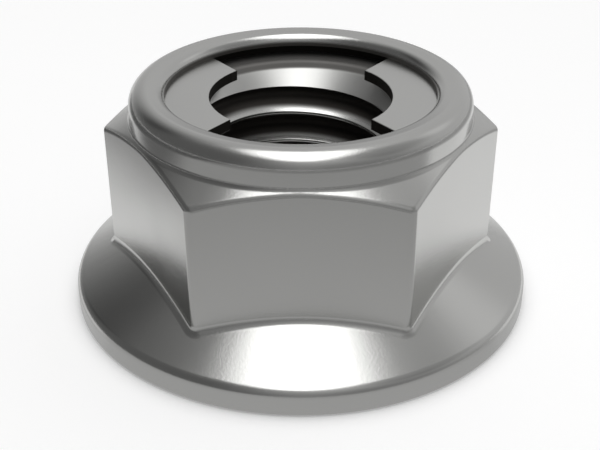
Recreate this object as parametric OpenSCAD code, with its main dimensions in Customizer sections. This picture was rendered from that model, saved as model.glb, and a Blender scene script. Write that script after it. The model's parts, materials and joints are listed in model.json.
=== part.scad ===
// Hexagon flange lock nut, all metal, in two pieces.
// The body is forged as a hexagon on a round flange, drilled, tapped and
// counterbored. A spring steel insert lies in the counterbore, and the collar
// round it is rolled inward to hold it. Two tabs of the insert reach in over
// the thread and press on the bolt.
// The axis is Z, the bearing face lies on Z = 0, and two flats face -Y and +Y.

/* [Thread] */
// Nominal diameter of the thread
thread_d = 8; // [7:0.1:8.6]
// Pitch of the thread
pitch = 1.25; // [1:0.05:1.5]
// How far the lower countersink opens past the thread, each side
lower_mouth = 0.25; // [0.1:0.05:0.5]
// How far the upper countersink opens past the thread, each side
upper_mouth = 0.36; // [0.1:0.01:0.45]
// Angle between a countersink's wall and the axis
sink_angle = 45; // [40:1:55]

/* [Hexagon] */
// Width across flats
across_flats = 13; // [12.6:0.1:14]
// Height at which the chamfer's cone meets the collar's wall
hex_h = 7.29; // [6.4:0.01:8.4]
// Slope of the chamfer on the corners, from the horizontal
chamfer_angle = 30; // [20:1:35]
// Rounding of the six upright edges
corner_round = 0.35; // [0.3:0.05:0.6]
// Rounding of the edges between the flats and the chamfer
edge_round = 0.25; // [0.15:0.01:0.28]

/* [Flange] */
// How far the flange reaches past the flats
flange_reach = 2.38; // [2:0.02:2.8]
// Slope of the flange's upper face, from the horizontal
cone_angle = 28.5; // [22:0.5:32]
// Height of the upright part of the flange's edge
rim_h = 0.71; // [0.5:0.01:0.9]
// Rounding between the upright edge and the upper face
rim_round = 0.45; // [0.2:0.05:0.6]
// Rounding between the upright edge and the bearing face
under_round = 0.18; // [0.08:0.02:0.3]
// Fillet between the flats and the flange
root_round = 0.38; // [0.2:0.02:0.6]

/* [Collar] */
// How far the collar stands back from the flats
shoulder = 0.13; // [0.05:0.01:0.3]
// Fillet between the collar and the chamfer
foot_round = 0.246; // [0.15:0.002:0.3]
// Wall of the collar round the insert
collar_wall = 0.47; // [0.35:0.01:0.6]
// How far the rolled lip reaches in over the insert
lip_reach = 0.87; // [0.7:0.01:1]
// Thickness of the lip at its inner edge
lip_t = 0.39; // [0.3:0.01:0.5]
// Fall of the lip's top towards the bore, from the horizontal
lip_fall = 10; // [0:1:15]
// Rounding of the rolled edge outside
roll_round = 0.634; // [0.5:0.002:0.7]
// Rounding of the lip's inner edge
lip_round = 0.39; // [0.1:0.01:0.45]
// Height of the insert's seat above the hexagon
seat_rise = 0.31; // [0.1:0.01:0.4]
// Width of the broken edge between the seat and the countersink
break_w = 0.32; // [0.2:0.01:0.4]
// Depth of the broken edge
break_h = 0.08; // [0.04:0.01:0.2]

/* [Insert] */
// Thickness of the spring steel
insert_t = 0.43; // [0.35:0.01:0.6]
// Gap between the insert and the counterbore's wall
insert_gap = 0.05; // [0.02:0.01:0.08]
// Width of the ring that joins the tabs
ring_w = 0.4; // [0.3:0.02:0.5]
// How far the tabs stay outside the thread's minor diameter, each side
tab_gap = 0.08; // [0.04:0.01:0.2]
// Half of the angle that a tab spans at its inner edge
tab_angle = 43; // [30:1:48]
// How much each side edge of a tab turns away from the radius
tab_flare = 10; // [0:1:14]
// Fillet between a tab and the ring
tab_fillet = 0.4; // [0.2:0.05:0.5]

/* [Hidden] */
$fn = 96;
SMALL_FN = 32;
ARC_STEP = 10;
STEEL = "#8f9192";
SPRING_STEEL = "#a3a5a3";
// Past the solid, so that a cut leaves no skin
CUT = 1;
// Thread depth per pitch, on the radius, of a 60 degree thread
DEPTH_PER_PITCH = 5 / 8 * cos(30);
// Steps of a rounding along a flat, round a corner and across
FLAT_STEPS = 10;
CORNER_STEPS = 3;
ROUND_STEPS = 3;
// How far a rounding's strip runs on past the faces that it joins
RUN_ON = 0.03;
// Depth of a rounding's strip behind the round
STRIP = 0.2;

flat_r = across_flats / 2;
edge_r = flat_r / cos(30);
corner_at = (flat_r - corner_round) / cos(30);
flat_half = (flat_r - corner_round) * tan(30);
thread_r = thread_d / 2;
minor_r = thread_r - DEPTH_PER_PITCH * pitch;

// The upper face of the flange as a line through its tangent point on the rim
flange_r = flat_r + flange_reach;
rim_x = flange_r - rim_round;
cone_x = rim_x + rim_round * sin(cone_angle);
cone_z = rim_h + rim_round * cos(cone_angle);
function cone_h(r) = cone_z + (cone_x - r) * tan(cone_angle);

// The collar and what it holds, from the outside in
collar_r = flat_r - shoulder;
function chamfer_h(r) = hex_h - (r - collar_r) * tan(chamfer_angle);
foot_x = collar_r + foot_round;
foot_h = hex_h + foot_round * tan(45 - chamfer_angle / 2);
// The rounded edge stays inside the rounded corner, and meets the collar's fillet
// where the collar comes near the flat
edge_ball = min(edge_round, corner_round - 0.05);
edge_switch = foot_x - (foot_round + edge_ball) * sin(chamfer_angle);
bore_r = collar_r - collar_wall;
lip_r = bore_r - lip_reach;
mouth_r = thread_r + upper_mouth;
seat_r = mouth_r + break_w;
seat_h = hex_h + seat_rise;
mouth_h = seat_h - break_h;
insert_top = seat_h + insert_t;

// The lip's top falls along a line from its tangent point on the rolled edge
lip_h = insert_top + lip_t;
roll_x = collar_r - roll_round;
crest_x = roll_x - roll_round * sin(lip_fall);
crest_h = lip_h + (crest_x - lip_r) * tan(lip_fall);
roll_h = crest_h - roll_round * cos(lip_fall);
// The round of its inner edge goes no further down than the insert
nose_rise = 1 / cos(lip_fall) - tan(lip_fall);
nose_round = min(lip_round, lip_t / nose_rise - 0.02);
inner_x = lip_r + nose_round;
inner_h = lip_h - nose_round * nose_rise;

// The insert
ring_out_r = bore_r - insert_gap;
ring_in_r = ring_out_r - ring_w;
ring_mid_r = ring_out_r - ring_w / 2;
tab_r = minor_r + tab_gap;
edge_angle = tab_angle + tab_flare;
tab_corner = tab_r * [cos(tab_angle), sin(tab_angle)];
edge_dir = [cos(edge_angle), sin(edge_angle)];
edge_side = [-sin(edge_angle), cos(edge_angle)];

// Points of an arc, one for every ARC_STEP degrees or so
function arc(at, r, from, to) =
    let (n = ceil(abs(to - from) / ARC_STEP))
    [for (i = [0:n]) let (a = from + (to - from) * i / n) at + r * [cos(a), sin(a)]];

// Length along dir from point p to the circle of radius r round the origin
function reach(p, dir, r) = sqrt((p * dir) ^ 2 + r ^ 2 - p * p) - p * dir;

fillet_foot = tab_corner + edge_side * tab_fillet;
fillet_run = reach(fillet_foot, edge_dir, ring_in_r - tab_fillet);
fillet_at = fillet_foot + edge_dir * fillet_run;

// Hexagon with rounded corners, one arc for each
module hexagon_outline() {
    polygon([
        for (k = [0:5])
            each arc(corner_at * [cos(60 * k), sin(60 * k)], corner_round, 60 * k - 30, 60 * k + 30)
    ]);
}

// Hexagon, chamfered in the lathe, with the collar and the lip that are turned on it.
// The collar stands on a fillet, its rolled edge is round, and the lip ends in a round.
module hexagon_and_collar() {
    intersection() {
        translate([0, 0, rim_h])
            linear_extrude(crest_h + CUT - rim_h)
                hexagon_outline();
        rotate_extrude()
            polygon(concat(
                [[0, 0], [edge_r, 0], [edge_r, chamfer_h(edge_r)]],
                arc([foot_x, foot_h], foot_round, 270 - chamfer_angle, 180),
                arc([roll_x, roll_h], roll_round, 0, 90 + lip_fall),
                arc([inner_x, inner_h], nose_round, 90 + lip_fall, 180),
                [[lip_r, insert_top], [0, insert_top]]
            ));
    }
}

// Flange: bearing face, rounded rim and sloping upper face
module flange() {
    rotate_extrude()
        polygon(concat(
            [[0, 0]],
            arc([flange_r - under_round, under_round], under_round, -90, 0),
            arc([rim_x, rim_h], rim_round, 0, 90 - cone_angle),
            [[bore_r, cone_h(bore_r)], [0, cone_h(bore_r)]]
        ));
}

// Stations along the hexagon's outline, s inside it: a point, and the angle of the
// outline's normal there
function stations(s) = [
    for (k = [0:5])
        each concat(
            [for (i = [0:CORNER_STEPS]) let (a = 60 * (k - 1 / 2 + i / CORNER_STEPS))
                [corner_at * [cos(60 * k), sin(60 * k)] + (corner_round - s) * [cos(a), sin(a)], a]],
            [for (i = [1:FLAT_STEPS - 1]) let (a = 60 * k + 30, t = flat_half * (2 * i / FLAT_STEPS - 1))
                [(flat_r - s) * [cos(a), sin(a)] + t * [-sin(a), cos(a)], a]]
        )
];

// Direction between the unit vectors u and v, t of the way along
function between(u, v, t) =
    let (w = acos(u * v))
    (sin((1 - t) * w) * u + sin(t * w) * v) / sin(w);

function unit(v) = v / norm(v);

// Arc of a ball from direction u to direction v, its ends run on a little
function strip(at, r, u, v) =
    let (p = [for (i = [0:ROUND_STEPS]) at + r * between(u, v, i / ROUND_STEPS)], n = ROUND_STEPS)
    concat(
        [p[0] + RUN_ON * unit(p[0] - p[1])],
        [for (i = [1:n - 1]) p[i]],
        [p[n] + RUN_ON * unit(p[n] - p[n - 1])]
    );

// Height of the centre of a ball that lies in the body against the chamfer, or
// against the collar's fillet where that comes first
function edge_ball_h(r) =
    r < edge_switch
        ? foot_h - sqrt((edge_ball + foot_round) ^ 2 - (foot_x - r) ^ 2)
        : chamfer_h(r) - edge_ball / cos(chamfer_angle);

// Section of what comes off an edge between a flat and the chamfer
function edge_section(p, a) =
    let (
        r = norm(p),
        h = edge_ball_h(r),
        out = [cos(a), sin(a), 0],
        up = r < edge_switch
            ? [(foot_x - r) * p.x / r, (foot_x - r) * p.y / r, foot_h - h] / (edge_ball + foot_round)
            : [sin(chamfer_angle) * p.x / r, sin(chamfer_angle) * p.y / r, cos(chamfer_angle)],
        s = strip([p.x, p.y, h], edge_ball, out, up)
    )
    concat(s, [s[ROUND_STEPS] + STRIP * 2 * out, s[0] + STRIP * 2 * out]);

// Section of what fills the corner between a flat and the flange
function root_section(p, a) =
    let (
        r = norm(p),
        h = cone_h(r) + root_round / cos(cone_angle),
        out = [cos(a), sin(a), 0],
        up = [sin(cone_angle) * p.x / r, sin(cone_angle) * p.y / r, cos(cone_angle)],
        s = strip([p.x, p.y, h], root_round, -out, -up)
    )
    concat(s, [[p.x, p.y, cone_h(r) - STRIP] - (root_round + STRIP) * out]);

// Closed ring through a list of sections, each with the same number of points
module ring_through(sections) {
    n = len(sections);
    m = len(sections[0]);
    polyhedron(
        points = [for (s = sections) each s],
        faces = [
            for (j = [0:n - 1], i = [0:m - 1])
                let (
                    a = j * m + i,
                    b = j * m + (i + 1) % m,
                    c = (j + 1) % n * m + (i + 1) % m,
                    d = (j + 1) % n * m + i
                )
                each [[a, c, b], [a, d, c]]
        ]
    );
}

// Everything that is drilled, sunk and counterbored out of the body
module bore_cut() {
    rotate_extrude()
        polygon([
            [0, -CUT],
            [thread_r + lower_mouth + CUT * tan(sink_angle), -CUT],
            [minor_r, (thread_r + lower_mouth - minor_r) / tan(sink_angle)],
            [minor_r, mouth_h - (mouth_r - minor_r) / tan(sink_angle)],
            [mouth_r, mouth_h],
            [seat_r, seat_h],
            [bore_r, seat_h],
            [bore_r, insert_top],
            [lip_r, insert_top],
            [lip_r, crest_h + CUT],
            [0, crest_h + CUT]
        ]);
}

module nut_body() {
    color(STEEL)
        difference() {
            union() {
                difference() {
                    hexagon_and_collar();
                    ring_through([for (s = stations(edge_ball)) edge_section(s[0], s[1])]);
                }
                flange();
                ring_through([for (s = stations(-root_round)) root_section(s[0], s[1])]);
            }
            bore_cut();
        }
}

// One side edge of a tab with its fillet into the ring
module tab_fillet_web() {
    difference() {
        polygon([
            tab_corner + edge_dir * fillet_run,
            tab_corner + edge_dir * reach(tab_corner, edge_dir, ring_mid_r),
            fillet_at * ring_mid_r / norm(fillet_at),
            fillet_at
        ]);
        translate(fillet_at)
            circle(tab_fillet, $fn = SMALL_FN);
    }
}

// One tab, from its concave inner edge out to the middle of the ring
module tab_outline() {
    far = tab_corner + edge_dir * reach(tab_corner, edge_dir, ring_mid_r);
    difference() {
        intersection() {
            polygon([
                [0, 0],
                [tab_corner.x, -tab_corner.y],
                [far.x, -far.y],
                [ring_out_r, -far.y],
                [ring_out_r, far.y],
                far,
                tab_corner
            ]);
            circle(ring_mid_r);
        }
        circle(tab_r);
    }
    for (side = [0, 1])
        mirror([0, side])
            tab_fillet_web();
}

module insert_outline() {
    difference() {
        circle(ring_out_r);
        circle(ring_in_r);
    }
    for (side = [0, 1])
        mirror([side, 0])
            tab_outline();
}

module locking_insert() {
    color(SPRING_STEEL)
        translate([0, 0, seat_h])
            linear_extrude(insert_t)
                insert_outline();
}

nut_body();
locking_insert();
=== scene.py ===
"""Flange lock nut: the dressed model, its studio and its camera.

The nut is a steel body, forged and turned in one piece, and a spring steel insert
under the body's rolled lip. Sizes are in millimetres until a piece is finished.
"""

import json
import logging
import math
from collections.abc import Callable
from dataclasses import dataclass
from enum import Enum

import bmesh
import bpy
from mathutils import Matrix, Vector

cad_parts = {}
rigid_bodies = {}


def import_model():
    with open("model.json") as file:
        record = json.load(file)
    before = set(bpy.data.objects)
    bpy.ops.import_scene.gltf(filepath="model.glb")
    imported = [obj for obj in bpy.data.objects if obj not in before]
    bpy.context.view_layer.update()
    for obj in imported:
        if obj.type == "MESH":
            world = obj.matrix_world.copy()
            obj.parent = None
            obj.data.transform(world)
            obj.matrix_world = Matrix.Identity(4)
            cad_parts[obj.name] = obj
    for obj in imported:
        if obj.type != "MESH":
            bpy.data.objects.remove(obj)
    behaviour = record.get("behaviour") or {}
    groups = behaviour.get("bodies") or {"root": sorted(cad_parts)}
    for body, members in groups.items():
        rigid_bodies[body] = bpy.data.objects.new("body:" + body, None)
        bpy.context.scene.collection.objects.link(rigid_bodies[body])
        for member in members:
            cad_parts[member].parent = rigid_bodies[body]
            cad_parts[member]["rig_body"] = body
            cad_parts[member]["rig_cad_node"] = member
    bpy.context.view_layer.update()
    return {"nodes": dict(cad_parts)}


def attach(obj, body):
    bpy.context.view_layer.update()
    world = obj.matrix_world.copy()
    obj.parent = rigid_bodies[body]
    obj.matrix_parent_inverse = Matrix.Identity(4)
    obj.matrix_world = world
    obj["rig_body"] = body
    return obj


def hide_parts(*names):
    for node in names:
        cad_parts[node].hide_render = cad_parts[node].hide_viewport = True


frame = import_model()

LOG = logging.getLogger("flange_lock_nut")
MM = 0.001
# Points this close after a cut are one, in millimetres: wider gaps pinch the thin faces
SEAM_GAP = 0.0006

Point = tuple[float, float]
Station = tuple[float, float, float]
Heading = tuple[float, float, float]


class Cut(Enum):
    """How one solid works on another."""

    JOIN = "UNION"
    REMOVE = "DIFFERENCE"
    KEEP_COMMON = "INTERSECT"


def linear(code: str) -> tuple[float, float, float, float]:
    """Turns an sRGB hex colour into linear values.

    Args:
        code: the colour, such as "#8f9192".

    Returns:
        Red, green, blue and an alpha of 1.
    """
    parts = [int(code[i : i + 2], 16) / 255 for i in (1, 3, 5)]
    values = [p / 12.92 if p <= 0.04045 else ((p + 0.055) / 1.055) ** 2.4 for p in parts]
    return (values[0], values[1], values[2], 1.0)


def arc(at: Point, radius: float, start: float, end: float, step: float = 6.0) -> list[Point]:
    """Gives the points of an arc in the plane of radius and height.

    Args:
        at: the arc's centre.
        radius: its radius.
        start: the angle of its first point, in degrees.
        end: the angle of its last point, in degrees.
        step: the widest angle between two points.

    Returns:
        The points, both ends included.
    """
    count = max(1, math.ceil(abs(end - start) / step))
    turns = [math.radians(start + (end - start) * i / count) for i in range(count + 1)]
    return [(at[0] + radius * math.cos(t), at[1] + radius * math.sin(t)) for t in turns]


def pick(obj: bpy.types.Object) -> None:
    """Makes one object the only selected and active one."""
    bpy.ops.object.select_all(action="DESELECT")
    obj.select_set(True)
    bpy.context.view_layer.objects.active = obj


def open_mesh(
    obj: bpy.types.Object, kind: str = "VERT", everything: bool = False
) -> bmesh.types.BMesh:
    """Opens a piece in edit mode.

    Args:
        obj: the piece.
        kind: what is selected there, "VERT", "EDGE" or "FACE".
        everything: whether all of it starts selected.

    Returns:
        The mesh under edit.
    """
    pick(obj)
    bpy.ops.object.mode_set(mode="EDIT")
    bpy.ops.mesh.select_mode(type=kind)
    bpy.ops.mesh.select_all(action="SELECT" if everything else "DESELECT")
    return bmesh.from_edit_mesh(obj.data)


def close_mesh() -> None:
    """Leaves edit mode."""
    bpy.ops.object.mode_set(mode="OBJECT")


def select_edges(obj: bpy.types.Object, wanted: Callable[[Vector, Vector], bool]) -> int:
    """Selects the edges of an open mesh by the places of their ends.

    Args:
        obj: the piece, in edit mode.
        wanted: says of an edge's two ends whether it is selected.

    Returns:
        How many edges are selected.
    """
    mesh = bmesh.from_edit_mesh(obj.data)
    found = 0
    for edge in mesh.edges:
        hit = wanted(edge.verts[0].co, edge.verts[1].co)
        edge.select_set(hit)
        found += hit
    bmesh.update_edit_mesh(obj.data)
    return found


def clean(obj: bpy.types.Object, gap: float = 1e-4) -> None:
    """Merges the doubles of a piece and turns its faces outward.

    Args:
        obj: the piece.
        gap: how far apart two points may lie to be one.
    """
    open_mesh(obj, everything=True)
    bpy.ops.mesh.remove_doubles(threshold=gap)
    bpy.ops.mesh.dissolve_degenerate(threshold=gap)
    bpy.ops.mesh.select_all(action="SELECT")
    bpy.ops.mesh.normals_make_consistent(inside=False)
    close_mesh()


def drawn(name: str, points: list[Point]) -> bpy.types.Object:
    """Draws an outline in the XZ plane, point after point.

    Args:
        name: the object's name.
        points: radius and height of each point.

    Returns:
        The object, a chain of edges.
    """
    bpy.ops.object.select_all(action="DESELECT")
    bpy.ops.mesh.primitive_plane_add(size=1, location=(0, 0, 0))
    obj = bpy.context.object
    obj.name = name
    open_mesh(obj, everything=True)
    bpy.ops.mesh.merge(type="CENTER")
    bpy.ops.transform.translate(value=(points[0][0], 0, points[0][1]))
    for here, there in zip(points, points[1:]):
        move = (there[0] - here[0], 0, there[1] - here[1])
        bpy.ops.mesh.extrude_vertices_move(TRANSFORM_OT_translate={"value": move})
    close_mesh()
    return obj


def turned(name: str, points: list[Point], steps: int) -> bpy.types.Object:
    """Turns an outline round the Z axis, as on a lathe.

    Args:
        name: the object's name.
        points: radius and height of each point, both ends on the axis or both the same.
        steps: how many faces go round.

    Returns:
        The closed solid.
    """
    obj = drawn(name, points)
    open_mesh(obj, everything=True)
    bpy.ops.mesh.spin(steps=steps, angle=math.tau, center=(0, 0, 0), axis=(0, 0, 1))
    close_mesh()
    clean(obj)
    return obj


def ringed(name: str, sections: list[list[Vector]]) -> bpy.types.Object:
    """Makes a closed ring through sections: a torus whose rings are moved to them.

    Args:
        name: the object's name.
        sections: the points of each section, in order round the ring.

    Returns:
        The closed solid.
    """
    bpy.ops.object.select_all(action="DESELECT")
    bpy.ops.mesh.primitive_torus_add(
        major_segments=len(sections),
        minor_segments=len(sections[0]),
        major_radius=6,
        minor_radius=0.2,
    )
    obj = bpy.context.object
    obj.name = name
    mesh = open_mesh(obj)
    mesh.verts.ensure_lookup_table()
    places = [point for section in sections for point in section]
    for vertex, place in zip(mesh.verts, places):
        vertex.co = place
    bmesh.update_edit_mesh(obj.data)
    close_mesh()
    clean(obj, 1e-6)
    return obj


def combine(obj: bpy.types.Object, tool: bpy.types.Object, how: Cut) -> None:
    """Lets one solid work on another and removes the first.

    Args:
        obj: the solid that stays.
        tool: the solid that works on it and is used up.
        how: what it does.
    """
    pick(obj)
    modifier = obj.modifiers.new("work", "BOOLEAN")
    modifier.operation = how.value
    modifier.solver = "EXACT"
    modifier.object = tool
    bpy.ops.object.modifier_apply(modifier=modifier.name)
    bpy.data.objects.remove(tool)
    clean(obj, SEAM_GAP)


def smooth(obj: bpy.types.Object, angle: float) -> None:
    """Smooths the curved faces and keeps the flat ones flat.

    Args:
        obj: the piece.
        angle: the edges over this angle stay sharp, in degrees.
    """
    pick(obj)
    bpy.ops.object.shade_smooth_by_angle(angle=math.radians(angle))
    modifier = obj.modifiers.new("even", "WEIGHTED_NORMAL")
    modifier.mode = "FACE_AREA"
    modifier.weight = 90
    modifier.keep_sharp = True
    bpy.ops.object.modifier_apply(modifier=modifier.name)


def finished(obj: bpy.types.Object, node: str) -> None:
    """Brings a piece from millimetres to metres and puts it in the place of a CAD node.

    Args:
        obj: the piece, at the origin.
        node: the CAD node that it stands for.
    """
    open_mesh(obj, everything=True)
    bpy.ops.transform.resize(value=(MM, MM, MM), center_override=(0, 0, 0))
    close_mesh()
    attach(obj, "root")
    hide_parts(node)
    count = sum(len(p.vertices) - 2 for p in obj.data.polygons)
    LOG.info("%s: %d triangles, replaces %s", obj.name, count, node)


@dataclass
class NutBody:
    """The body: hexagon, flange, tapped bore, and the collar with its rolled lip.

    Lengths are in millimetres and angles in degrees, as in the part's source. The
    thread has fields of its own: where a crest passes the back of the bore, the crest's
    width and rounding, and the root's clearance and rounding.
    """

    thread_d: float = 8.0
    pitch: float = 1.25
    lower_mouth: float = 0.25
    upper_mouth: float = 0.36
    across_flats: float = 13.0
    hex_h: float = 7.29
    chamfer_angle: float = 30.0
    corner_round: float = 0.35
    edge_round: float = 0.25
    flange_fillet: float = 0.38
    flange_reach: float = 2.38
    cone_angle: float = 28.5
    rim_h: float = 0.71
    rim_round: float = 0.45
    under_round: float = 0.18
    shoulder: float = 0.13
    foot_round: float = 0.246
    collar_wall: float = 0.47
    lip_reach: float = 0.87
    lip_t: float = 0.39
    lip_fall: float = 10.0
    roll_round: float = 0.634
    lip_round: float = 0.39
    seat_rise: float = 0.31
    break_w: float = 0.32
    break_h: float = 0.08
    insert_t: float = 0.43
    crest_at: float = 5.79
    crest_w: float = 0.10
    crest_round: float = 0.04
    root_clear: float = 0.10
    thread_round: float = 0.20
    steps: int = 288
    tap_steps: int = 144
    corner_steps: int = 10
    flat_steps: int = 24
    ball_steps: int = 6
    run_on: float = 0.03
    strip: float = 0.4
    bead_depth: float = 0.2

    def __post_init__(self) -> None:
        """Works out the radii and heights that follow from the sizes."""
        self.flat_r = self.across_flats / 2
        self.edge_r = self.flat_r / math.cos(math.radians(30))
        self.thread_r = self.thread_d / 2
        self.minor_r = self.thread_r - 5 / 8 * math.cos(math.radians(30)) * self.pitch
        self.flange_r = self.flat_r + self.flange_reach
        self.collar_r = self.flat_r - self.shoulder
        self.bore_r = self.collar_r - self.collar_wall
        self.lip_r = self.bore_r - self.lip_reach
        self.mouth_r = self.thread_r + self.upper_mouth
        self.seat_r = self.mouth_r + self.break_w
        self.seat_h = self.hex_h + self.seat_rise
        self.mouth_h = self.seat_h - self.break_h
        self.insert_top = self.seat_h + self.insert_t
        between = math.radians(45 - self.chamfer_angle / 2)
        self.fillet_x = self.collar_r + self.foot_round
        self.fillet_h = self.hex_h + self.foot_round * math.tan(between)

    def cone_h(self, r: float) -> float:
        """Height of the flange's upper face at a radius."""
        slope = math.radians(self.cone_angle)
        touch_r = self.flange_r - self.rim_round + self.rim_round * math.sin(slope)
        return self.rim_h + self.rim_round * math.cos(slope) + (touch_r - r) * math.tan(slope)

    def chamfer_h(self, r: float) -> float:
        """Height of the chamfer's cone at a radius."""
        return self.hex_h - (r - self.collar_r) * math.tan(math.radians(self.chamfer_angle))

    def hexagon(self) -> bpy.types.Object:
        """Makes the hexagonal bar, its upright edges rounded.

        Returns:
            The bar, from inside the flange to over the collar.
        """
        top = self.insert_top + 2.0
        bpy.ops.object.select_all(action="DESELECT")
        bpy.ops.mesh.primitive_cylinder_add(
            vertices=6,
            radius=self.edge_r,
            depth=top - self.rim_h,
            location=(0, 0, (top + self.rim_h) / 2),
            rotation=(0, 0, math.radians(30)),
        )
        obj = bpy.context.object
        obj.name = "nut_body_dressed"
        bpy.ops.object.transform_apply(location=True, rotation=True, scale=True)
        open_mesh(obj, "EDGE")
        select_edges(obj, lambda a, b: abs(a.z - b.z) > 1)
        bpy.ops.mesh.bevel(
            offset=self.corner_round * math.tan(math.radians(30)),
            segments=12,
            profile=0.5,
            affect="EDGES",
        )
        close_mesh()
        return obj

    def lathed_top(self) -> bpy.types.Object:
        """Turns what the lathe leaves: chamfer, fillet, collar, rolled edge and lip.

        Returns:
            The closed solid, wider than the bar under the chamfer.
        """
        fillet = (self.fillet_x, self.fillet_h)
        roll_x = self.collar_r - self.roll_round
        fall = math.radians(self.lip_fall)
        lip_h = self.insert_top + self.lip_t
        crest_h = lip_h + (roll_x - self.roll_round * math.sin(fall) - self.lip_r) * math.tan(fall)
        roll_h = crest_h - self.roll_round * math.cos(fall)
        nose = (
            self.lip_r + self.lip_round,
            lip_h + self.lip_round * (math.tan(fall) - 1 / math.cos(fall)),
        )
        outer = self.edge_r + 1
        points = [(0.0, 0.0), (outer, 0.0), (outer, self.chamfer_h(outer))]
        points += arc(fillet, self.foot_round, 270 - self.chamfer_angle, 180, 5)
        points += arc((roll_x, roll_h), self.roll_round, 0, 90 + self.lip_fall, 4)
        points += arc(nose, self.lip_round, 90 + self.lip_fall, 180, 6)
        points += [(self.lip_r, self.insert_top), (0.0, self.insert_top)]
        return turned("lathed_top", points, self.steps)

    def stations(self, inset: float) -> list[Station]:
        """Walks round the hexagon's outline.

        Args:
            inset: how far inside the outline the walk is.

        Returns:
            For each stop its x, its y and the angle of the outline's normal there.
        """
        reach = self.flat_r - self.corner_round
        corner, half = reach / math.cos(math.radians(30)), reach * math.tan(math.radians(30))
        stops = []
        for side in range(6):
            turn = math.radians(60 * side)
            for i in range(self.corner_steps + 1):
                a = turn + math.radians(60 * i / self.corner_steps - 30)
                out = self.corner_round - inset
                stops.append(
                    (
                        corner * math.cos(turn) + out * math.cos(a),
                        corner * math.sin(turn) + out * math.sin(a),
                        a,
                    )
                )
            a = turn + math.radians(30)
            out = self.flat_r - inset
            for i in range(1, self.flat_steps):
                along = half * (2 * i / self.flat_steps - 1)
                stops.append(
                    (
                        out * math.cos(a) - along * math.sin(a),
                        out * math.sin(a) + along * math.cos(a),
                        a,
                    )
                )
        return stops

    def rolled(self, at: Vector, radius: float, start: Vector, end: Vector) -> list[Vector]:
        """Lays an arc on a ball between two directions, its ends run on a little.

        Args:
            at: the ball's centre.
            radius: the ball's radius.
            start: direction of the arc's first point.
            end: direction of its last point.

        Returns:
            The points.
        """
        n = self.ball_steps
        points = [at + radius * start.slerp(end, i / n) for i in range(n + 1)]
        first = points[0] + self.run_on * (points[0] - points[1]).normalized()
        last = points[n] + self.run_on * (points[n] - points[n - 1]).normalized()
        return [first, *points[1:n], last]

    def edge_ring(self) -> bpy.types.Object:
        """Makes the tool that rounds the edges between the flats and the chamfer.

        A ball rolls along inside each edge, against the flat and the chamfer, or
        against the collar's fillet where that comes first.

        Returns:
            The ring to take away.
        """
        ball, fillet = self.edge_round, self.foot_round
        slope = math.radians(self.chamfer_angle)
        switch = self.fillet_x - (fillet + ball) * math.sin(slope)
        sections = []
        for x, y, a in self.stations(ball):
            r = math.hypot(x, y)
            out = Vector((math.cos(a), math.sin(a), 0))
            if r < switch:
                h = self.fillet_h - math.sqrt((ball + fillet) ** 2 - (self.fillet_x - r) ** 2)
                away = (self.fillet_x - r) / r
                up = Vector((away * x, away * y, self.fillet_h - h)).normalized()
            else:
                h = self.chamfer_h(r) - ball / math.cos(slope)
                up = Vector((math.sin(slope) * x / r, math.sin(slope) * y / r, math.cos(slope)))
            points = self.rolled(Vector((x, y, h)), ball, out, up)
            behind = self.strip * out
            sections.append([*points, points[-1] + behind, points[0] + behind])
        return ringed("edge_ring", sections)

    def fillet_ring(self) -> bpy.types.Object:
        """Makes the bead that fills the corner between the flats and the flange.

        Returns:
            The ring to add.
        """
        ball = self.flange_fillet
        slope = math.radians(self.cone_angle)
        sections = []
        for x, y, a in self.stations(-ball):
            r = math.hypot(x, y)
            out = Vector((math.cos(a), math.sin(a), 0))
            up = Vector((math.sin(slope) * x / r, math.sin(slope) * y / r, math.cos(slope)))
            at = Vector((x, y, self.cone_h(r) + ball / math.cos(slope)))
            points = self.rolled(at, ball, -out, -up)
            deep = Vector((x, y, self.cone_h(r) - self.bead_depth))
            deep -= (ball + self.bead_depth) * out
            sections.append([*points, deep])
        return ringed("fillet_ring", sections)

    def flange(self) -> bpy.types.Object:
        """Turns the flange: bearing face, rounded rim and sloping upper face.

        Returns:
            The closed solid, down to the bore's size inside.
        """
        rim = (self.flange_r - self.rim_round, self.rim_h)
        under = (self.flange_r - self.under_round, self.under_round)
        points = [(0.0, 0.0)]
        points += arc(under, self.under_round, -90, 0, 10)
        points += arc(rim, self.rim_round, 0, 90 - self.cone_angle, 5)
        inner_h = self.cone_h(self.minor_r)
        points += [(self.minor_r, inner_h), (0.0, inner_h)]
        return turned("flange", points, self.steps)

    def bore_cutter(self) -> bpy.types.Object:
        """Turns the tool for the bore, both countersinks and the counterbore.

        The bore is drilled a little under size, and the tap leaves the crests.

        Returns:
            The solid to take away.
        """
        start = self.minor_r - 0.15
        low_r = self.thread_r + self.lower_mouth
        points = [
            (0.0, -1.0),
            (low_r + 1, -1.0),
            (start, low_r - start),
            (start, self.mouth_h - (self.mouth_r - start)),
            (self.mouth_r, self.mouth_h),
            (self.seat_r, self.seat_h),
            (self.bore_r, self.seat_h),
            (self.bore_r, self.insert_top),
            (self.lip_r, self.insert_top),
            (self.lip_r, self.insert_top + 2),
            (0.0, self.insert_top + 2),
        ]
        return turned("bore_cutter", points, self.steps)

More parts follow.
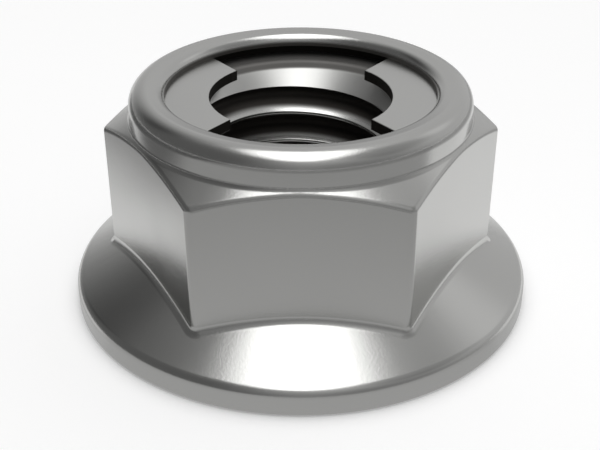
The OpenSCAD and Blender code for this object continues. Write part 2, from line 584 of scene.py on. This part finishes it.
    def tap(self) -> bpy.types.Object:
        """Screws one groove of the thread up the axis: a right-hand tap.

        Returns:
            The closed tap, whose grooves become the crests of the thread.
        """
        slope = math.tan(math.radians(30))
        soft = self.crest_round
        root_r = self.thread_r + self.root_clear
        root_z = self.crest_w / 2 + (root_r - self.minor_r) * slope
        crest = (self.minor_r + soft, self.crest_w / 2 - soft * slope)
        root = (root_r - self.thread_round, root_z + self.thread_round * slope)
        side = [(self.minor_r, 0.0)]
        side += arc(crest, soft, 180, 120, 20)
        side += arc(root, self.thread_round, -60, 0, 12)
        other = [(r, self.pitch - z) for r, z in reversed(side)]
        low = self.crest_at - 0.25 * self.pitch - 6 * self.pitch
        points = [(r, z + low) for r, z in side + other]
        obj = drawn("tap", points)
        pick(obj)
        modifier = obj.modifiers.new("screw", "SCREW")
        modifier.angle = math.tau
        modifier.screw_offset = self.pitch
        modifier.iterations = 9
        modifier.steps = self.tap_steps
        modifier.render_steps = self.tap_steps
        modifier.use_merge_vertices = True
        modifier.merge_threshold = 1e-4
        bpy.ops.object.modifier_apply(modifier=modifier.name)
        clean(obj)
        for at, up in ((-0.6, False), (self.insert_top, True)):
            open_mesh(obj, everything=True)
            bpy.ops.mesh.bisect(
                plane_co=(0, 0, at),
                plane_no=(0, 0, 1),
                use_fill=True,
                clear_inner=not up,
                clear_outer=up,
            )
            close_mesh()
        clean(obj)
        return obj

    def build(self) -> bpy.types.Object:
        """Makes the body and puts it in the place of its CAD node.

        Returns:
            The finished body.
        """
        obj = self.hexagon()
        combine(obj, self.lathed_top(), Cut.KEEP_COMMON)
        combine(obj, self.edge_ring(), Cut.REMOVE)
        combine(obj, self.flange(), Cut.JOIN)
        combine(obj, self.fillet_ring(), Cut.JOIN)
        combine(obj, self.bore_cutter(), Cut.REMOVE)
        combine(obj, self.tap(), Cut.REMOVE)
        clean(obj)
        smooth(obj, 32)
        finished(obj, "nut_body")
        return obj


@dataclass
class LockingInsert:
    """The spring steel insert: a stamped ring with two tabs, its edges just broken."""

    edge_round: float = 0.045

    def build(self) -> bpy.types.Object:
        """Makes the insert from a copy of its CAD solid and breaks its edges.

        Returns:
            The finished insert.
        """
        pick(frame["nodes"]["locking_insert"])
        bpy.ops.object.duplicate()
        obj = bpy.context.object
        obj.name = "locking_insert_dressed"
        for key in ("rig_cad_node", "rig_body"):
            del obj[key]
        obj.parent = None
        open_mesh(obj, everything=True)
        bpy.ops.transform.resize(value=(1 / MM, 1 / MM, 1 / MM), center_override=(0, 0, 0))
        close_mesh()
        clean(obj, 0.001)
        open_mesh(obj, "EDGE", everything=True)
        bpy.ops.mesh.dissolve_limited(angle_limit=math.radians(1))
        bpy.ops.mesh.select_all(action="DESELECT")
        select_edges(obj, lambda a, b: abs(a.z - b.z) < 0.01)
        bpy.ops.mesh.bevel(offset=self.edge_round, segments=4, profile=0.5, affect="EDGES")
        close_mesh()
        smooth(obj, 40)
        finished(obj, "locking_insert")
        return obj


def add(
    tree: bpy.types.NodeTree,
    kind: str,
    values: dict[str | int, object] | None = None,
    links: dict[str | int, bpy.types.NodeSocket] | None = None,
    **settings: object,
) -> bpy.types.Node:
    """Adds a node with its settings, values and links.

    Args:
        tree: the node tree.
        kind: the node's type.
        values: input values by name or number.
        links: outputs that feed inputs, by the input's name or number.
        settings: the node's own properties.

    Returns:
        The node.
    """
    node = tree.nodes.new(kind)
    for name, value in settings.items():
        setattr(node, name, value)
    for name, value in (values or {}).items():
        node.inputs[name].default_value = value
    for name, socket in (links or {}).items():
        tree.links.new(socket, node.inputs[name])
    return node


@dataclass(frozen=True)
class SatinSteel:
    """Plain steel with a satin surface, as on nuts from the bin.

    It shows soft, wide reflections. The plating's grain is a few hundredths of a
    millimetre wide and is drawn at 0.09 mm, as coarse as it needs to be to show. The
    gloss changes a little from place to place, in clouds about 2.6 mm wide. Where
    painted shade lies, the metal goes nearly black and matt.
    """

    name: str
    colour: str
    roughness: float
    # The colour of the painted shade, nearly black
    painted_shade: str
    grain_mm: float = 0.09
    grain_depth: float = 0.02
    grain_strength: float = 0.08
    cloud_mm: float = 2.6
    cloud_change: float = 0.02
    # How much rougher the metal is under the painted shade
    shade_roughness_change: float = 0.5
    mark_change: float = 0.16

    def painted_shade_share(self, tree: bpy.types.NodeTree, where: bpy.types.NodeSocket) -> bpy.types.NodeSocket:
        """Says where the painted shade lies.

        Args:
            tree: the material's node tree.
            where: the place in object coordinates.

        Returns:
            An output that is 1 in the painted shade and 0 elsewhere.
        """
        raise NotImplementedError

    def marked(
        self, tree: bpy.types.NodeTree, where: bpy.types.NodeSocket
    ) -> bpy.types.NodeSocket | None:
        """Says where a turning tool has left its marks, which blur the reflections.

        Args:
            tree: the material's node tree.
            where: the place in object coordinates.

        Returns:
            An output that is 1 on the marks and 0 elsewhere, or None without any.
        """
        return None

    def material(self) -> bpy.types.Material:
        """Makes the material.

        Returns:
            The material, with its pattern in object coordinates.
        """
        made = bpy.data.materials.new(self.name)
        made.use_nodes = True
        tree = made.node_tree
        tree.nodes.clear()
        where = add(tree, "ShaderNodeTexCoord").outputs["Object"]
        # The share of painted shade, which darkens the colour and roughens the metal
        painted_shade = self.painted_shade_share(tree, where)
        grain = add(
            tree,
            "ShaderNodeTexNoise",
            {"Scale": 1 / (self.grain_mm * MM), "Detail": 2.0, "Roughness": 0.6},
            {"Vector": where},
        )
        cloud = add(
            tree,
            "ShaderNodeTexNoise",
            {"Scale": 1 / (self.cloud_mm * MM), "Detail": 3.0, "Roughness": 0.5},
            {"Vector": where},
        )
        satin = add(
            tree,
            "ShaderNodeMapRange",
            {
                "From Min": 0.3,
                "From Max": 0.7,
                "To Min": self.roughness - self.cloud_change,
                "To Max": self.roughness + self.cloud_change,
            },
            {"Value": cloud.outputs["Fac"]},
        )
        rough = add(
            tree,
            "ShaderNodeMath",
            {1: self.shade_roughness_change},
            {0: painted_shade, 2: satin.outputs["Result"]},
            operation="MULTIPLY_ADD",
        )
        marks = self.marked(tree, where)
        if marks is not None:
            rough = add(
                tree,
                "ShaderNodeMath",
                {1: self.mark_change},
                {0: marks, 2: rough.outputs[0]},
                operation="MULTIPLY_ADD",
            )
        # The painted shade darkens the colour towards its own dark colour
        colour = add(
            tree,
            "ShaderNodeMix",
            {6: linear(self.colour), 7: linear(self.painted_shade)},
            {0: painted_shade},
            data_type="RGBA",
        )
        bump = add(
            tree,
            "ShaderNodeBump",
            {"Strength": self.grain_strength, "Distance": self.grain_depth * MM},
            {"Height": grain.outputs["Fac"]},
        )
        shader = add(
            tree,
            "ShaderNodeBsdfPrincipled",
            {"Metallic": 1.0},
            {
                "Base Color": colour.outputs[2],
                "Roughness": rough.outputs[0],
                "Normal": bump.outputs["Normal"],
            },
        )
        add(tree, "ShaderNodeOutputMaterial", links={"Surface": shader.outputs["BSDF"]})
        return made


@dataclass(frozen=True)
class TappedSteel(SatinSteel):
    """The body's steel, with painted shade where its thread was tapped and its lip rolled.

    Painted shade lies in the thread's roots and in the crease under the lip, and a
    lighter share of it on the turned seat. Places are in millimetres: the wide ends of both
    countersinks, the radius of the thread's crests, the limits of the crease in radius
    and height, the seat's inner edge, and the lower end of the upper countersink. In the
    thread the painted shade grows between two depths behind the crests.
    """

    mouth: Point = (4.36, 7.52)
    low_mouth_r: float = 4.25
    crest_r: float = 3.32
    # How deep behind the crests the painted shade in the thread begins and is full
    thread_shade_depths: Point = (0.08, 0.40)
    crease_r: Point = (4.95, 5.95)
    crease_h: Point = (7.75, 8.12)
    seat_r: float = 4.16
    seat_h: float = 7.34
    # How strong the painted shade on the seat is
    seat_shade_share: float = 0.76
    sink_h: float = 6.7

    def height_and_radius(
        self, tree: bpy.types.NodeTree, where: bpy.types.NodeSocket
    ) -> tuple[bpy.types.NodeSocket, bpy.types.NodeSocket]:
        """Measures a place.

        Args:
            tree: the material's node tree.
            where: the place in object coordinates.

        Returns:
            Its height over the underside and its distance from the axis, in metres.
        """
        height = add(tree, "ShaderNodeSeparateXYZ", links={"Vector": where}).outputs["Z"]
        flat = add(
            tree,
            "ShaderNodeVectorMath",
            {1: (1.0, 1.0, 0.0)},
            {0: where},
            operation="MULTIPLY",
        )
        radius = add(
            tree,
            "ShaderNodeVectorMath",
            links={0: flat.outputs[0]},
            operation="LENGTH",
        )
        return height, radius.outputs["Value"]

    def zone(
        self,
        tree: bpy.types.NodeTree,
        limits: tuple[tuple[bpy.types.NodeSocket, float, float], ...],
        share: float = 1.0,
    ) -> bpy.types.NodeSocket:
        """Marks out a zone with soft limits.

        Args:
            tree: the material's node tree.
            limits: for each limit a value, where the zone begins and where it is full,
                in millimetres.
            share: how strong the zone is.

        Returns:
            An output that is the share inside and 0 outside.
        """
        inside = None
        for value, outer, inner in limits:
            edge = add(
                tree,
                "ShaderNodeMapRange",
                {
                    "From Min": outer * MM,
                    "From Max": inner * MM,
                    "To Max": share if inside is None else 1.0,
                },
                {"Value": value},
                interpolation_type="SMOOTHSTEP",
            ).outputs["Result"]
            if inside is None:
                inside = edge
                continue
            inside = add(
                tree,
                "ShaderNodeMath",
                links={0: inside, 1: edge},
                operation="MULTIPLY",
            ).outputs[0]
        return inside

    def painted_shade_share(self, tree: bpy.types.NodeTree, where: bpy.types.NodeSocket) -> bpy.types.NodeSocket:
        """Says where the painted shade lies: in the thread, in the crease and on the seat.

        Args:
            tree: the material's node tree.
            where: the place in object coordinates.

        Returns:
            An output that is 1 in the painted shade and 0 elsewhere.
        """
        height, radius = self.height_and_radius(tree, where)
        fall = add(tree, "ShaderNodeMath", links={0: radius, 1: height}, operation="SUBTRACT")
        rise = add(tree, "ShaderNodeMath", links={0: radius, 1: height}, operation="ADD")
        past = self.mouth[0] - self.mouth[1]
        wall = (radius, self.crease_r[1] + 0.1, self.crease_r[1])
        thread = (
            (radius, self.crest_r + self.thread_shade_depths[0], self.crest_r + self.thread_shade_depths[1]),
            (radius, self.mouth[0], self.mouth[0] - 0.1),
            (fall.outputs[0], past + 0.02, past + 0.07),
            (rise.outputs[0], self.low_mouth_r + 0.02, self.low_mouth_r + 0.07),
        )
        crease = (
            (radius, self.crease_r[0], self.crease_r[0] + 0.1),
            wall,
            (height, self.crease_h[0], self.crease_h[0] + 0.1),
            (height, self.crease_h[1] + 0.16, self.crease_h[1]),
        )
        seat = (
            (radius, self.seat_r, self.seat_r + 0.12),
            wall,
            (height, self.seat_h, self.seat_h + 0.05),
            (height, self.crease_h[0] + 0.1, self.crease_h[0]),
        )
        # Painted shade in the thread's roots, in the crease under the lip and, lighter, on the seat
        found = self.zone(tree, thread)
        for other in (self.zone(tree, crease), self.zone(tree, seat, self.seat_shade_share)):
            found = add(
                tree,
                "ShaderNodeMath",
                links={0: found, 1: other},
                operation="MAXIMUM",
            ).outputs[0]
        return found

    def marked(self, tree: bpy.types.NodeTree, where: bpy.types.NodeSocket) -> bpy.types.NodeSocket:
        """Says where the tool's marks are: in the upper countersink.

        Args:
            tree: the material's node tree.
            where: the place in object coordinates.

        Returns:
            An output that is 1 on the marks and 0 elsewhere.
        """
        height, radius = self.height_and_radius(tree, where)
        return self.zone(
            tree,
            (
                (radius, self.mouth[0] + 0.2, self.mouth[0]),
                (height, self.sink_h - 0.05, self.sink_h + 0.05),
            ),
        )


@dataclass(frozen=True)
class StampedSteel(SatinSteel):
    """The insert's steel. Its sheared edges are rough, with painted shade on them, and its faces
    are clean.

    An edge is told from a face by how steeply it stands: the two shares of an upright
    normal say where the painted shade begins and where it is full.
    """

    upright: Point = (0.85, 0.35)

    def painted_shade_share(self, tree: bpy.types.NodeTree, where: bpy.types.NodeSocket) -> bpy.types.NodeSocket:
        """Says where the painted shade lies: on the faces that stand upright.

        Args:
            tree: the material's node tree.
            where: the place in object coordinates, which isn't needed here.

        Returns:
            An output that is 1 on the sheared edges and 0 on the flat faces.
        """
        # Painted shade on the upright faces, the sheared edges
        facing = add(tree, "ShaderNodeNewGeometry").outputs["Normal"]
        up = add(tree, "ShaderNodeSeparateXYZ", links={"Vector": facing}).outputs["Z"]
        size = add(tree, "ShaderNodeMath", links={0: up}, operation="ABSOLUTE")
        return add(
            tree,
            "ShaderNodeMapRange",
            {"From Min": self.upright[0], "From Max": self.upright[1]},
            {"Value": size.outputs[0]},
            interpolation_type="SMOOTHSTEP",
        ).outputs["Result"]


# Forged, turned and barrel plated with zinc: an even grey satin without scale
# Its last colour is the painted shade in the thread, the crease and on the seat
BODY_STEEL = TappedSteel("zinc_plated_forged_steel", "#c0c0be", 0.2, "#4d4a47")
# Stamped from rolled strip and tempered: a touch paler, as the strip was polished
# Its last colour is the painted shade on the sheared edges
INSERT_STEEL = StampedSteel("tempered_spring_steel", "#c4c4c2", 0.24, "#34322f")


def dress(obj: bpy.types.Object, material: bpy.types.Material) -> None:
    """Gives a piece its material."""
    obj.data.materials.clear()
    obj.data.materials.append(material)


@dataclass
class Studio:
    """A pale floor, a long soft box over the nut, and plain grey walls.

    The floor and the box are in metres. Each layer of the box has its width, its length
    and its light, and the wide one is dim, so that the box has a soft edge. The floor's
    glow is left off near the nut's foot, a painted shadow. The card is a grey glow seen
    in reflections alone, painted shade on the floor as the metal sees it. It is in
    millimetres: it covers the floor near the nut's foot and in the ways that its
    sides give, each with a heading, where the side begins and is full, and its share.
    Its level falls from near to far, and once more to the left. Each patch of the wall
    has its azimuth and elevation, its inner and outer angle and its change of level.
    """

    floor_size: float = 3.0
    floor_drop: float = 0.01
    floor_grey: str = "#d9d9d9"
    floor_glow: float = 0.43
    # Where the floor's glow begins and is full; inside it lies a painted shadow round the nut's
    # foot
    painted_shadow_r: Point = (7.7, 9.7)
    box_elevation: float = 83.0
    box_distance: float = 0.2
    box_layers: tuple[tuple[float, float, float], ...] = (
        (0.100, 0.215, 2.3),
        (0.148, 0.256, 1.1),
    )
    card_size: float = 0.4
    card_rise: float = 0.02
    card_foot_r: Point = (11.2, 9.4)
    card_foot_cover: Point = (0.15, 0.9)
    card_sides: tuple[tuple[Heading, float, float, float], ...] = (
        ((0.0, -1.0, 0.0), 2.5, 5.5, 1.0),
        ((-1.0, -0.5, 0.0), 8.5, 17.0, 1.0),
        ((1.0, 0.0, 0.0), 16.0, 34.0, 0.8),
    )
    card_reach: Point = (9.0, 34.0)
    card_level: Point = (0.56, 0.30)
    card_left: Heading = (-1.0, 0.8, 0.0)
    card_left_reach: Point = (12.0, 18.0)
    card_left_level: float = 0.4
    wall_level: float = 0.62
    wall_patches: tuple[tuple[float, float, float, float, float], ...] = (
        (-167, 16, 30, 81, -0.48),
        (-56, -20, 22, 78, -0.35),
        (-16, 50, 2, 33, -0.27),
        (29, 37, 3, 15, 0.18),
        (128, 30, 5, 33, -0.14),
        (88, -5, 8, 24, -0.22),
    )

    def floor(self) -> None:
        """Lays the floor. It is white by its colour and a glow, and keeps the nut's shadow. Near
        the nut's foot the glow is left off, which paints a shadow round the foot.
        """
        bpy.ops.object.select_all(action="DESELECT")
        below = -self.floor_drop * MM
        bpy.ops.mesh.primitive_plane_add(size=self.floor_size, location=(0, 0, below))
        obj = bpy.context.object
        obj.name = "studio_floor"
        made = bpy.data.materials.new("pale_paper")
        made.use_nodes = True
        tree = made.node_tree
        tree.nodes.clear()
        path = add(tree, "ShaderNodeLightPath")
        seen = add(
            tree,
            "ShaderNodeMath",
            links={0: path.outputs["Is Camera Ray"], 1: path.outputs["Is Glossy Ray"]},
            operation="MAXIMUM",
        )
        seen = add(
            tree,
            "ShaderNodeMath",
            links={0: seen.outputs[0], 1: path.outputs["Is Transmission Ray"]},
            operation="MAXIMUM",
        )
        where = add(tree, "ShaderNodeTexCoord").outputs["Object"]
        away = add(tree, "ShaderNodeVectorMath", links={0: where}, operation="LENGTH")
        # Painted shadow: the glow fades out towards the nut's foot
        glow_past_painted_shadow = add(
            tree,
            "ShaderNodeMapRange",
            {
                "From Min": self.painted_shadow_r[0] * MM,
                "From Max": self.painted_shadow_r[1] * MM,
                "To Max": self.floor_glow,
            },
            {"Value": away.outputs["Value"]},
            interpolation_type="SMOOTHSTEP",
        )
        glow = add(
            tree,
            "ShaderNodeMath",
            links={0: seen.outputs[0], 1: glow_past_painted_shadow.outputs["Result"]},
            operation="MULTIPLY",
        )
        paper = add(tree, "ShaderNodeBsdfDiffuse", {"Color": linear(self.floor_grey)})
        light = add(tree, "ShaderNodeEmission", links={"Strength": glow.outputs[0]})
        both = add(
            tree,
            "ShaderNodeAddShader",
            links={0: paper.outputs["BSDF"], 1: light.outputs["Emission"]},
        )
        add(tree, "ShaderNodeOutputMaterial", links={"Surface": both.outputs[0]})
        dress(obj, made)

    def painted_shade_card(self) -> None:
        """Lays a grey card round the nut, for the metal to reflect: a glow that paints shade on the
        floor as the metal sees it.

        It shows in reflections alone, so the floor stays pale from every side.
        """
        bpy.ops.object.select_all(action="DESELECT")
        over = self.card_rise * MM
        bpy.ops.mesh.primitive_plane_add(size=self.card_size, location=(0, 0, over))
        obj = bpy.context.object
        obj.name = "painted_shade_card"
        made = bpy.data.materials.new("painted_shade_card")
        made.use_nodes = True
        tree = made.node_tree
        tree.nodes.clear()
        where = add(tree, "ShaderNodeTexCoord").outputs["Object"]
        away = add(tree, "ShaderNodeVectorMath", links={0: where}, operation="LENGTH")
        cover = add(
            tree,
            "ShaderNodeMapRange",
            {
                "From Min": self.card_foot_r[0] * MM,
                "From Max": self.card_foot_r[1] * MM,
                "To Min": self.card_foot_cover[0],
                "To Max": self.card_foot_cover[1],
            },
            {"Value": away.outputs["Value"]},
            interpolation_type="SMOOTHSTEP",
        ).outputs["Result"]
        for heading, start, end, share in self.card_sides:
            along = add(
                tree,
                "ShaderNodeVectorMath",
                {1: heading},
                {0: where},
                operation="DOT_PRODUCT",
            )
            part = add(
                tree,
                "ShaderNodeMapRange",
                {"From Min": start * MM, "From Max": end * MM, "To Max": share},
                {"Value": along.outputs["Value"]},
                interpolation_type="SMOOTHSTEP",
            )
            cover = add(
                tree,
                "ShaderNodeMath",
                links={0: cover, 1: part.outputs["Result"]},
                operation="MAXIMUM",
            ).outputs[0]
        level = add(
            tree,
            "ShaderNodeMapRange",
            {
                "From Min": self.card_reach[0] * MM,
                "From Max": self.card_reach[1] * MM,
                "To Min": self.card_level[0],
                "To Max": self.card_level[1],
            },
            {"Value": away.outputs["Value"]},
        )
        left = add(
            tree,
            "ShaderNodeVectorMath",
            {1: self.card_left},
            {0: where},
            operation="DOT_PRODUCT",
        )
        dim = add(
            tree,
            "ShaderNodeMapRange",
            {
                "From Min": self.card_left_reach[0] * MM,
                "From Max": self.card_left_reach[1] * MM,
                "To Min": 1.0,
                "To Max": self.card_left_level,
            },
            {"Value": left.outputs["Value"]},
            interpolation_type="SMOOTHSTEP",
        )
        level = add(
            tree,
            "ShaderNodeMath",
            links={0: level.outputs["Result"], 1: dim.outputs["Result"]},
            operation="MULTIPLY",
        )
        clear = add(tree, "ShaderNodeBsdfTransparent")
        # The card's grey glow is painted shade, seen in reflections alone
        grey = add(tree, "ShaderNodeEmission", links={"Strength": level.outputs[0]})
        card = add(
            tree,
            "ShaderNodeMixShader",
            links={
                0: cover,
                1: clear.outputs["BSDF"],
                2: grey.outputs["Emission"],
            },
        )
        add(tree, "ShaderNodeOutputMaterial", links={"Surface": card.outputs[0]})
        dress(obj, made)
        obj.visible_camera = False
        obj.visible_diffuse = False
        obj.visible_shadow = False

    def soft_box(self) -> None:
        """Hangs the long soft box over the nut, from the camera's side to past the top."""
        tilt = math.radians(self.box_elevation)
        place = Vector((0, -math.cos(tilt), math.sin(tilt))) * self.box_distance
        for width, length, light in self.box_layers:
            bpy.ops.object.select_all(action="DESELECT")
            bpy.ops.object.light_add(
                type="AREA", location=place, rotation=(math.pi / 2 - tilt, 0, 0)
            )
            lamp = bpy.context.object
            lamp.name = "soft_box"
            lamp.data.shape = "ELLIPSE"
            lamp.data.size = width
            lamp.data.size_y = length
            area = math.pi * width * length / 4
            lamp.data.energy = light * math.pi * area

    def walls(self) -> None:
        """Paints the room: mid grey, dark to the left of the nut and darker before it."""
        world = bpy.data.worlds.new("plain_room")
        bpy.context.scene.world = world
        world.use_nodes = True
        tree = world.node_tree
        tree.nodes.clear()
        way = add(tree, "ShaderNodeTexCoord").outputs["Generated"]
        level = None
        for azimuth, elevation, inner, outer, change in self.wall_patches:
            a, e = math.radians(azimuth), math.radians(elevation)
            heading = (math.cos(e) * math.cos(a), math.cos(e) * math.sin(a), math.sin(e))
            near = add(
                tree,
                "ShaderNodeVectorMath",
                {1: heading},
                {0: way},
                operation="DOT_PRODUCT",
            )
            patch = add(
                tree,
                "ShaderNodeMapRange",
                {
                    "From Min": math.cos(math.radians(outer)),
                    "From Max": math.cos(math.radians(inner)),
                    "To Max": change,
                },
                {"Value": near.outputs["Value"]},
                interpolation_type="SMOOTHSTEP",
            ).outputs["Result"]
            level = add(
                tree,
                "ShaderNodeMath",
                {0: self.wall_level},
                {1: patch} if level is None else {0: level, 1: patch},
                operation="ADD",
            ).outputs[0]
        back = add(
            tree,
            "ShaderNodeBackground",
            {"Color": (1, 1, 1, 1)},
            {"Strength": level},
        )
        add(tree, "ShaderNodeOutputWorld", links={"Surface": back.outputs["Background"]})

    def build(self) -> None:
        """Sets up the floor, the card, the soft box and the room."""
        self.floor()
        self.painted_shade_card()
        self.soft_box()
        self.walls()


@dataclass
class Camera:
    """The photograph's camera, fitted to the nut's circles and corners.

    The focal length and the middle are in pixels of a frame of 600 by 450, lengths in
    millimetres.
    """

    focal: float = 1075.0
    elevation: float = 29.77
    distance: float = 42.71
    target_h: float = 2.40
    middle_x: float = 300.82
    width: int = 600

    def build(self) -> None:
        """Places the camera and makes it the scene's own."""
        tilt = math.radians(self.elevation)
        place = (
            0,
            -self.distance * math.cos(tilt) * MM,
            (self.distance * math.sin(tilt) + self.target_h) * MM,
        )
        bpy.ops.object.select_all(action="DESELECT")
        bpy.ops.object.camera_add(location=place, rotation=(math.pi / 2 - tilt, 0, 0))
        camera = bpy.context.object
        camera.name = "camera"
        camera.data.sensor_width = 36
        camera.data.lens = self.focal / self.width * 36
        camera.data.shift_x = (self.width / 2 - self.middle_x) / self.width
        camera.data.clip_start = 1 * MM
        camera.data.clip_end = 10
        bpy.context.scene.camera = camera


def main() -> None:
    """Builds the nut piece by piece, then the studio and the camera."""
    logging.basicConfig(level=logging.INFO, format="%(message)s")
    body = NutBody().build()
    dress(body, BODY_STEEL.material())
    insert = LockingInsert().build()
    dress(insert, INSERT_STEEL.material())
    Studio().build()
    Camera().build()
    bpy.context.scene.view_settings.view_transform = "Standard"


if __name__ == "__main__":
    main()
